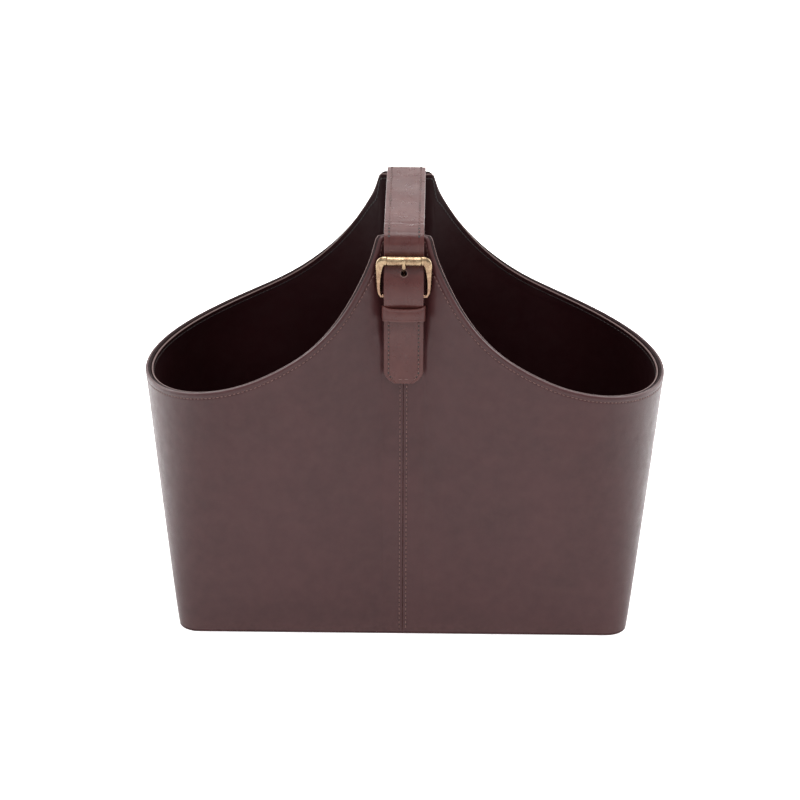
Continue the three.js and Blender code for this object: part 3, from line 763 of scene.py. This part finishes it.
def wrinkles(rings):
    """How far the strap's leather stands proud where it creases before and over the front bend."""
    x, y, z = np.moveaxis(rings, -1, 0)
    sway = 1.3 * np.sin(x / 6.5 + 0.6) + 0.7 * np.sin(x / 2.9)
    on_top = 1 / (1 + np.exp((FRONT_BEND_CENTRE[1] - z) / 1.5))
    folds = sum(proud * dip(y + ahead + lean * sway, width) for proud, ahead, lean, width in FOLDS)
    sag = 0.12 * np.sin(y / 9.0 + x / 14.0) * dip(y, 60.0)
    centre = 0.45 + 0.55 * dip(x - 3.0, 9.0)
    return (folds * centre + sag) * on_top


UNDER_LEATHER_SHORT = 14    # path points that the under leather ends before the strap does
STITCH_START = 3            # path points left free of stitches at a tip


def build_handle():
    path = strap_path()
    normals = path_normals(path)
    far = travelled(path)
    widths = tip_width(far)
    outer = strap_section(*STRAP_OUTER, STRAP_HALF)
    under = strap_section(*STRAP_UNDER, STRAP_HALF - 0.15, channel=0.0, crown=0.0, edge=0.4)
    tip = np.searchsorted(far, 0.4)
    rings = strap_rings(path[tip:], normals[tip:], outer, widths[tip:])
    rings[..., 1:] += wrinkles(rings)[..., None] * normals[tip:, None]
    place(loft("handle_strap", rings, STRAP), "rack", "strap_leather", "handle_strap")
    last = len(path) - UNDER_LEATHER_SHORT
    rings = strap_rings(path[:last], normals[:last], under, widths[:last] - 0.15)
    place(loft("handle_lining", rings, EDGE), "rack", "strap_leather", "handle_lining",
          "handle_tape")
    stitched = slice(STITCH_START, last - 1)
    rows = [strap_line(path[stitched], normals[stitched], widths[stitched], side)
            for side in (1, -1)]
    stitching("handle_stitching", rows, gap=1.7, hole_radius=0.9)


def strap_line(path, normals, widths, side):
    """A stitch row beside the handle strap's edge."""
    surface = path + normals * (STRAP_OUTER[1] + 0.02)
    points = np.column_stack([side * (widths - STRAP_STITCH_INSET), surface])
    return along_curve(points, np.column_stack([0 * widths, normals]))


# ---- the front fittings
SIN, COS = math.sin(LEAN_ANGLE), math.cos(LEAN_ANGLE)


def front(x, out, up):
    """Points of the front fittings, from across, out from the wall and up along it."""
    x, out, up = np.broadcast_arrays(x, out, up)
    y = -wall_half_depth(-FITTINGS_DROP) - out * COS + up * SIN
    z = out * SIN + up * COS - FITTINGS_DROP
    return np.stack([x, y, z], -1)


def catmull_rom(p0, p1, p2, p3, t):
    """The point a share t of the way from p1 to p2 on a smooth curve through four points."""
    return 0.5 * (2 * p1 + (p2 - p0) * t + (2 * p0 - 5 * p1 + 4 * p2 - p3) * t ** 2
                  + (3 * p1 - p0 - 3 * p2 + p3) * t ** 3)


def smooth_curve(points, spacing=1.0):
    """A smooth curve through points, with its own points about a spacing apart."""
    points = np.asarray(points, float)
    before = 2 * points[0] - points[1]
    after = 2 * points[-1] - points[-2]
    p = np.concatenate([[before], points, [after]])
    out = []
    for i in range(1, len(p) - 2):
        count = max(2, int(np.linalg.norm(p[i + 1] - p[i]) / spacing))
        out += [catmull_rom(*p[i - 1:i + 3], t) for t in np.arange(count) / count]
    out.append(points[-1])
    return np.array(out)


def side_normals(path, turn=1):
    """Normals of a path in the (out, up) plane, to the left of its direction times turn."""
    ahead = unit(np.gradient(path, axis=0))
    return np.stack([ahead[:, 1], -ahead[:, 0]], -1) * turn


def front_strap(path, normals, section, widths):
    """Rings of a strap lying along a path in the (out, up) plane of the front fittings."""
    rings = strap_rings(path, normals, section, widths)
    return front(rings[..., 0], rings[..., 1], rings[..., 2])


BILLET_UPPER = [(4.35, 364.4), (4.5, 361.8), (4.6, 359.5), (4.6, 357), (4.45, 354), (4.55, 351.2)]
BILLET_LOWER = [(4.55, 351.2), (5.3, 348.5), (8.2, 343), (9.9, 336), (10.7, 328), (10.6, 321),
                (9.9, 316.5), (8.95, 314), (7.9, 311.5), (7.1, 308), (6.9, 304), (6.9, 300.3)]


def cylinder_cutter(centre, direction, radius, length):
    """A closed cylinder, in millimetres, to cut a round hole with."""
    axis = Vector(direction).normalized()
    work = bmesh.new()
    turn = axis.to_track_quat("Z", "Y").to_matrix().to_4x4()
    move = Matrix.Translation(Vector(centre) * MM) @ turn
    bmesh.ops.create_cone(work, cap_ends=True, segments=40, radius1=radius * MM,
                          radius2=radius * MM, depth=length * MM, matrix=move)
    mesh = bpy.data.meshes.new("cutter")
    work.to_mesh(mesh)
    work.free()
    return new_object("cutter", mesh)


def box_cutter(low, high):
    """A closed box between two corners of the front fittings' own frame."""
    corners = [(x, out, up) for x in (low[0], high[0]) for out in (low[1], high[1])
               for up in (low[2], high[2])]
    points = [front(*corner) for corner in corners]
    faces = [(0, 1, 3, 2), (4, 6, 7, 5), (0, 4, 5, 1), (2, 3, 7, 6), (0, 2, 6, 4), (1, 5, 7, 3)]
    return mesh_object("cutter", points, faces, STRAP)


PUNCH_DIRECTION = (0, -1, 0.62)
BILLET_HOLE_UP, BILLET_HOLE_RADIUS = 342.3, 2.9
LIP_RADIUS, LIP_HALF = 3.12, 0.38
LIP_CENTRE = (9.4, 342.65)     # out and up, on the billet's outer surface
LIP_FACING = (0.93, 0.37)


def billet_piece(name, points):
    """A stretch of the strap's single-layer end, along points out from the wall and up it."""
    half = LEATHER_THICKNESS / 2 + 0.1
    section = strap_section(-half, half, STRAP_HALF, channel=0.0, crown=0.2)
    path = smooth_curve(points, 1.2)
    rings = front_strap(path, side_normals(path, -1), section, np.full(len(path), STRAP_HALF))
    return loft(name, rings, STRAP)


def build_billet():
    """The strap's end: behind the roller, out over the heel bar and into the keeper."""
    top = billet_piece("strap_billet_upper", BILLET_UPPER)
    tuple(front(0, 5, 360.0) * MM)
    tuple(front(0, 5, 352.5) * MM)
    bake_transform(top)
    below = billet_piece("strap_billet", BILLET_LOWER)
    hole_at = front(0, 8.2, BILLET_HOLE_UP)
    cut_away(below, cylinder_cutter(hole_at, PUNCH_DIRECTION, BILLET_HOLE_RADIUS, 8))
    tuple(front(0, 8, 329.0) * MM)
    tuple(front(0, 8, 312.5) * MM)
    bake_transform(below)
    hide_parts("strap_billet")


def build_hole_lip():
    """The rubbed, slightly raised rim of the punched hole that the prong goes through, with painted
    highlight.
    """
    facing = np.array(LIP_FACING)
    upward = np.array([-facing[1], facing[0]])
    rings = []
    for turn in turns(40):
        ring = []
        for a in turns(10):
            radius = LIP_RADIUS + LIP_HALF * math.cos(a)
            out, up = (np.array(LIP_CENTRE) + upward * radius * math.sin(turn)
                       + facing * LIP_HALF * 0.7 * math.sin(a))
            ring.append(front(radius * math.cos(turn), out, up))
        rings.append(ring)
    lip = loft("billet_hole_lip", rings, LIP_WEAR_AND_HIGHLIGHT, closed=True, smooth_angle=70)
    place(lip, "buckle", "strap_leather")


HEEL_OUT, HEEL_UP = 6.0, 321.0
ROLLER_OUT, ROLLER_UP = 9.75, 354.0
ROLLER_RADIUS, ROLLER_LENGTH, ROLLER_BAR_RADIUS = 4.25, 29.4, 2.2
CHAPE_THICKNESS = 1.4
CHAPE_FRONT = [(2.0, TAB_TIP_HEIGHT), (2.0, 250), (2.0, 262), (2.3, 272), (3.4, 280), (4.7, 287),
               (5.1, 294), (5.1, 304), (5.25, 308), (6.0, 311.5), (7.1, 314), (8.3, 317.5)]
CHAPE_FOLD_RADIUS = 2.6
CHAPE_BACK = [(3.4, 317), (3.4, 308), (3.4, 298), (3.4, 290)]
CHAPE_SLOT_HALF = 2.8
CHAPE_STITCHED_TO = 299.0


def build_chape():
    """The tab: sewn to the wall, then round the buckle's heel bar and back under itself."""
    fold = [(HEEL_OUT + CHAPE_FOLD_RADIUS * math.cos(a), HEEL_UP + CHAPE_FOLD_RADIUS * math.sin(a))
            for a in np.radians(np.linspace(0, 180, 9))]
    path = smooth_curve(CHAPE_FRONT + fold + CHAPE_BACK, 1.0)
    far = travelled(path)
    half = CHAPE_THICKNESS / 2
    section = strap_section(-half, half + 0.15, STRAP_HALF, channel=0.2, crown=0.15, edge=0.5)
    widths = tip_width(far)
    start = np.searchsorted(far, 0.3)
    normals = side_normals(path)
    rings = front_strap(path[start:], normals[start:], section, widths[start:])
    tab = loft("buckle_chape", rings, STRAP)
    cut_away(tab, box_cutter((-CHAPE_SLOT_HALF, 1.0, 315.5), (CHAPE_SLOT_HALF, 14.0, 336.0)))
    place(tab, "rack", "strap_leather", "buckle_chape")
    level = half + 0.2
    first, last = start + STITCH_START, np.searchsorted(path[:, 1], CHAPE_STITCHED_TO)
    surface = (path + normals * level)[first:last]
    outward = front(0, *normals[first:last].T) - front(0, 0, 0)
    inset = widths[first:last] - STRAP_STITCH_INSET
    rows = [along_curve(front(side * inset, *surface.T), outward) for side in (1, -1)]
    across = np.linspace(-5.0, 5.0, 9)
    points = front(across, path[start, 0] + level, path[first, 1] + 0.8)
    outward = np.repeat([front(0, 1, 0) - front(0, 0, 0)], len(across), 0)
    rows.append(along_curve(points, outward))
    stitching("chape_stitching", rows)


KEEPER_BOTTOM, KEEPER_TOP = 299.5, 311.5
KEEPER_THICKNESS, KEEPER_HALF = 1.1, 18.5
KEEPER_BACK, KEEPER_SIDE, KEEPER_MIDDLE = 1.5, 9.9, 12.2


def build_keeper():
    """The keeper: a leather loop round the tab and the billet, bowed outwards in front."""
    side, back, middle = KEEPER_HALF, KEEPER_BACK, KEEPER_MIDDLE
    loop = [(x, KEEPER_SIDE + (middle - KEEPER_SIDE) * (1 - (x / side) ** 2))
            for x in np.linspace(-side + 2.0, side - 2.0, 25)]
    right = [(side - 2.0 + 2.0 * math.cos(a), KEEPER_SIDE - 2.0 + 2.1 * math.sin(a))
             for a in np.radians(np.linspace(80, 10, 6))]
    right += [(side, out) for out in np.linspace(KEEPER_SIDE - 2.6, back + 1.4, 5)]
    right += [(side - 1.2 + 1.2 * math.cos(a), back + 1.2 + 1.2 * math.sin(a))
              for a in np.radians(np.linspace(-10, -80, 5))]
    loop += right
    loop += [(x, back) for x in np.linspace(side - 2.0, -side + 2.0, 13)]
    loop += [(-x, out) for x, out in reversed(right)]
    loop = np.array(loop)
    ahead = unit(np.roll(loop, -1, 0) - np.roll(loop, 1, 0))
    outward = np.stack([-ahead[:, 1], ahead[:, 0]], -1)
    high, low, t = KEEPER_TOP, KEEPER_BOTTOM, KEEPER_THICKNESS
    profile = [(0.0, high - 0.45), (-0.12, high - 0.12), (-0.45, high), (-t + 0.3, high),
               (-t, high - 0.35), (-t, low + 0.35), (-t + 0.3, low), (-0.45, low),
               (-0.12, low + 0.12), (0.0, low + 0.45), (0.05, low + 1.6), (-0.1, low + 2.2),
               (0.05, low + 2.8), (0.12, (low + high) / 2), (0.05, high - 2.8),
               (-0.1, high - 2.2), (0.05, high - 1.6)]
    rings = []
    for (x, out), (nx, nout) in zip(loop, outward):
        front_share = max(0.0, (out - back) / (KEEPER_MIDDLE - back))
        ear = front_share * dip(abs(x) - side, 3.2)
        sag = 0.7 * front_share * (1 - (x / side) ** 2)
        ring = [front(x * (1 + 0.02 * ear * (up - low) / (high - low)) + nx * d, out + nout * d,
                      up + (2.3 * ear - sag if up > (low + high) / 2 else -0.5 * ear - 0.4 * sag))
                for d, up in profile]
        rings.append(ring)
    keeper = loft("strap_keeper", rings, STRAP, closed=True, smooth_angle=40)
    place(keeper, "rack", "strap_leather", "strap_keeper")


FRAME_TILT = math.atan2(ROLLER_OUT - HEEL_OUT, ROLLER_UP - HEEL_UP)
FRAME_RISE = math.hypot(ROLLER_OUT - HEEL_OUT, ROLLER_UP - HEEL_UP)
FRAME_ARM = 21.55
FRAME_HALF = [
    (0, 0, 1.6, 1.6), (17.9, 0, 1.6, 1.6), (19.7, 0.9, 1.6, 1.7), (20.8, 2.9, 1.7, 1.8),
    (FRAME_ARM - 0.2, 7, 1.9, 1.9), (FRAME_ARM, 13, 2.2, 2.0), (FRAME_ARM, 19, 2.5, 2.2),
    (FRAME_ARM - 0.4, 24, 2.9, 2.3), (FRAME_ARM - 0.9, 28, 3.4, 2.4),
    (FRAME_ARM - 1.9, 31, 3.9, 2.5), (FRAME_ARM - 3.5, 32.7, 4.1, 2.6),
    (16.3, FRAME_RISE, 4.15, 2.6), (15.1, FRAME_RISE, 4.1, 2.6), (14.95, FRAME_RISE, 2.9, 2.4),
    (14.8, FRAME_RISE, 2.2, 2.2), (0, FRAME_RISE, 2.2, 2.2)]


def frame_point(x, rise, proud=0.0):
    """A point of the buckle's own plane: across, up from the heel bar and proud of the plane."""
    sin, cos = math.sin(FRAME_TILT), math.cos(FRAME_TILT)
    return front(x, HEEL_OUT + rise * sin + proud * cos, HEEL_UP + rise * cos - proud * sin)


def build_frame():
    """The buckle's cast frame: heel bar, arms that thicken upwards, lobes and the roller's bar."""
    half = np.array(FRAME_HALF)
    left = half[::-1][1:-1] * [-1, 1, 1, 1]
    stations = np.concatenate([half, left])
    count = len(stations)
    dense = []
    for i in range(count):
        p0, p1, p2, p3 = (stations[(i + k) % count] for k in (-1, 0, 1, 2))
        steps = max(2, int(np.linalg.norm(p2[:2] - p1[:2]) / 0.7))
        straight = abs(p1[1] - p2[1]) < 1e-6 and abs(p2[0] - p1[0]) > 5
        for t in np.arange(steps) / steps:
            dense.append(p1 + (p2 - p1) * t if straight else catmull_rom(p0, p1, p2, p3, t))
    dense = np.array(dense)
    ahead = unit(np.roll(dense[:, :2], -1, 0) - np.roll(dense[:, :2], 1, 0))
    rings = []
    angles = turns(20)
    for (x, rise, width, depth), (ax, ar) in zip(dense, ahead):
        cx, sx = np.cos(angles), np.sin(angles)
        across = np.sign(cx) * np.abs(cx) ** 0.85 * width
        proud = np.sign(sx) * np.abs(sx) ** 0.85 * depth
        rings.append(frame_point(x - ar * across, rise + ax * across, proud))
    obj = loft("buckle_frame_cast", rings, BRASS, closed=True, smooth_angle=60)
    place(obj, "buckle", "aged_brass", "buckle_frame")


def turned(name, profile, sides, out_at, up_at):
    """A closed brass ring turned round the across axis from (radius, across) points."""
    rings = [[front(x, out_at + r * math.cos(a), up_at + r * math.sin(a)) for r, x in profile]
             for a in turns(sides)]
    return loft(name, rings, BRASS, closed=True, smooth_angle=50)


def build_roller():
    half, bore, r = ROLLER_LENGTH / 2, ROLLER_BAR_RADIUS + 0.3, ROLLER_RADIUS
    end = [(bore, half), (r - 0.75, half), (r - 0.35, half - 0.12), (r - 0.08, half - 0.45),
           (r, half - 0.9), (r - 0.04, half * 0.5)]
    profile = [(radius, -x) for radius, x in end] + [(r - 0.05, 0)] + end[::-1]
    obj = turned("buckle_roller_sleeve", profile, 48, ROLLER_OUT, ROLLER_UP)
    place(obj, "roller", "aged_brass", "buckle_roller")


PRONG_PATH = [(7.6, 323.2), (7.0, 328), (6.3, 334), (6.6, 339.2), (8.6, 343.2), (11.0, 346.4),
              (13.3, 349.1), (15.3, 353.2), (15.5, 356.6), (15.1, 358.0)]
PRONG_KNOB = 0.74  # where the pin is widest, as a share of its length


def build_prong():
    """The prong: an eye round the heel bar, and a pin bent up through the strap's hole."""
    eye = [(1.9, -2.0), (2.7, -2.2), (3.0, -1.8), (3.05, 0.0), (3.0, 1.8), (2.7, 2.2), (1.9, 2.0)]
    ring = turned("buckle_prong_eye", eye, 36, HEEL_OUT, HEEL_UP)
    place(ring, "prong", "aged_brass")
    path = smooth_curve(PRONG_PATH, 0.7)
    far = travelled(path)
    share = far / far[-1]
    normals = side_normals(path)
    angles = turns(18)
    rings = []
    for (out, up), (no, nu), s in zip(path, normals, share):
        wide = 1.15 + 0.95 * dip(s - PRONG_KNOB, 0.09) + 0.35 * dip(s - 0.93, 0.06)
        thick = 1.05 + 0.35 * dip(s - PRONG_KNOB, 0.09) - 0.2 * s
        end = math.sqrt(max(0.05, 1 - max(0.0, (s - 0.95) / 0.05) ** 2))
        foot = 1.0 if s > 0.02 else 0.85
        x = np.cos(angles) * wide * end * foot
        lift = np.sin(angles) * thick * end * foot
        rings.append(front(x, out + no * lift, up + nu * lift))
    pin = loft("buckle_prong", rings, BRASS, smooth_angle=60)
    place(pin, "prong", "aged_brass", "buckle_prong")


# ---- stitch rows on the walls
def wall_row(side, around, height, depth, inward=False, pitch=STITCH_PITCH):
    """A stitch row on the wall, along given places and heights."""
    points, outward = wall_surface(around, side, height)
    facing = -1 if inward else 1
    return along_curve(points - outward * depth, outward * facing, pitch)


def build_wall_stitching():
    for side, word in ((1, "right"), (-1, "left")):
        around = np.linspace(0.012, 1.988, 700)
        height = below_rim(around, RIM_STITCH_DROP)
        rows = [wall_row(side, around, height, 0.30)]
        levels = np.linspace(WALL_BOTTOM + 3.0, TAB_TIP_HEIGHT - 2.0, 200)
        for row in (SEAM_STITCH_OFFSET / RIM_QUARTER, 2 - SEAM_STITCH_OFFSET / RIM_QUARTER):
            rows.append(wall_row(side, np.full_like(levels, row), levels, 0.22, pitch=SEAM_PITCH))
        stitching("cover_stitching_" + word, rows)
        rows = [wall_row(side, around, height, LINING_IN + 0.28, inward=True)]
        stitching("lining_stitching_" + word, rows, thread_radius=0.3, material=LINING_THREAD)


# ---- what stays as CAD
def finish_cad_nodes():
    """The hidden boards keep their CAD shape and get the board's material."""
    for name in ("front_seam_strip", "back_seam_strip", "base_board"):
        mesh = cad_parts[name].data
        mesh.materials.clear()
        mesh.materials.append(BOARD)


# ---- floor, light and camera
CAMERA_DISTANCE = 3.5
CAMERA_ELEVATION = math.radians(25.0)
CAMERA_AZIMUTH = math.radians(0.8)
CAMERA_ROLL = math.radians(0.2)
CAMERA_TARGET = Vector((-0.00407, 0.0, 0.1829))
CAMERA_LENS = 178.1
# the paper glows, more behind the object than in front of it
FLOOR_GLOW_FRONT, FLOOR_GLOW_BACK = 0.3, 1.0
GLOW_FROM, GLOW_TO = -0.2, 0.25


def build_floor():
    size, back, rise, radius = 4.0, 2.4, 0.9, 0.8
    profile = [(-size, 0.0), (0.0, 0.0), (back - radius, 0.0)]
    profile += [(back - radius + radius * math.sin(a), radius - radius * math.cos(a))
                for a in np.radians(np.linspace(10, 90, 9))]
    profile.append((back, rise))
    mesh = bpy.data.meshes.new("floor_sweep")
    points = [(x, y, z - 0.0002) for y, z in profile for x in (-size, size)]
    faces = [(2 * i, 2 * i + 1, 2 * i + 3, 2 * i + 2) for i in range(len(profile) - 1)]
    mesh.from_pydata(points, [], faces)
    mesh.shade_smooth()
    floor = new_object("floor_sweep", mesh)
    n = Nodes("floor_paper")
    tone = n.remap(n.noise(2.0, 2.0), 0.3, 0.7)
    paper = n.mix(tone, (0.86, 0.86, 0.86), (0.88, 0.88, 0.88))
    glow = n.remap(n.along("Y"), GLOW_FROM, GLOW_TO, FLOOR_GLOW_FRONT, FLOOR_GLOW_BACK)
    mesh.materials.append(n.finish(Base_Color=paper, Roughness=0.9, Specular_IOR_Level=0.1,
                                   Emission_Color=(1.0, 1.0, 1.0), Emission_Strength=glow))


def area_light(name, place_at, aim, size, power):
    data = bpy.data.lights.new(name, "AREA")
    data.shape = "RECTANGLE"
    data.size, data.size_y = size
    data.energy = power
    light = new_object(name, data)
    light.location = place_at
    light.rotation_euler = (Vector(aim) - Vector(place_at)).to_track_quat("-Z", "Y").to_euler()


BRIGHT_SIDE = (0.0, 0.5, 0.866)  # the studio is brightest above and behind the object
# rises in the world's brightness towards that side: from, to, dim, bright
WORLD_STEPS = ((-0.5, 0.8, 0.45, 0.9), (0.83, 0.97, 0.0, 1.4))


def build_lights():
    world = bpy.data.worlds.new("studio")
    bpy.context.scene.world = world
    world.use_nodes = True
    n = Tree(world.node_tree)
    towards = n.add("ShaderNodeVectorMath", operation="DOT_PRODUCT")
    n.link(n.add("ShaderNodeTexCoord").outputs["Generated"], towards.inputs[0])
    n.link(BRIGHT_SIDE, towards.inputs[1])
    steps = [n.remap(towards.outputs["Value"], *step) for step in WORLD_STEPS]
    n.fill(n.tree.nodes["Background"], Color=(1.0, 1.0, 1.0, 1.0), Strength=n.math("ADD", *steps))
    area_light("overhead", (0.0, 0.5, 2.6), (0.0, 0.0, 0.2), (2.6, 2.2), 30.0)
    area_light("top_strip", (0.0, -0.7, 2.5), (0.0, -0.05, 0.3), (2.2, 0.7), 34.0)
    area_light("front_fill", (0.0, -3.2, 1.6), (0.0, 0.0, 0.15), (2.4, 1.6), 9.0)
    for side in (-1, 1):
        area_light("rim_light", (side * 1.9, 1.5, 0.9), (side * 0.2, 0.0, 0.15), (1.4, 1.6), 26.0)


def build_camera():
    data = bpy.data.cameras.new("camera")
    data.lens = CAMERA_LENS
    data.sensor_width = 36.0
    data.clip_end = 50.0
    camera = new_object("camera", data)
    flat = CAMERA_DISTANCE * math.cos(CAMERA_ELEVATION)
    offset = Vector((math.sin(CAMERA_AZIMUTH) * flat, -math.cos(CAMERA_AZIMUTH) * flat,
                     CAMERA_DISTANCE * math.sin(CAMERA_ELEVATION)))
    camera.location = CAMERA_TARGET + offset
    look = (-offset).to_track_quat("-Z", "Y")
    camera.rotation_euler = (look @ Matrix.Rotation(CAMERA_ROLL, 4, "Z").to_quaternion()).to_euler()
    bpy.context.scene.camera = camera


build_walls()
build_handle()
build_billet()
build_hole_lip()
build_chape()
build_keeper()
build_frame()
build_roller()
build_prong()
build_wall_stitching()
finish_cad_nodes()
build_floor()
build_lights()
build_camera()
bpy.context.scene.view_settings.view_transform = "Standard"
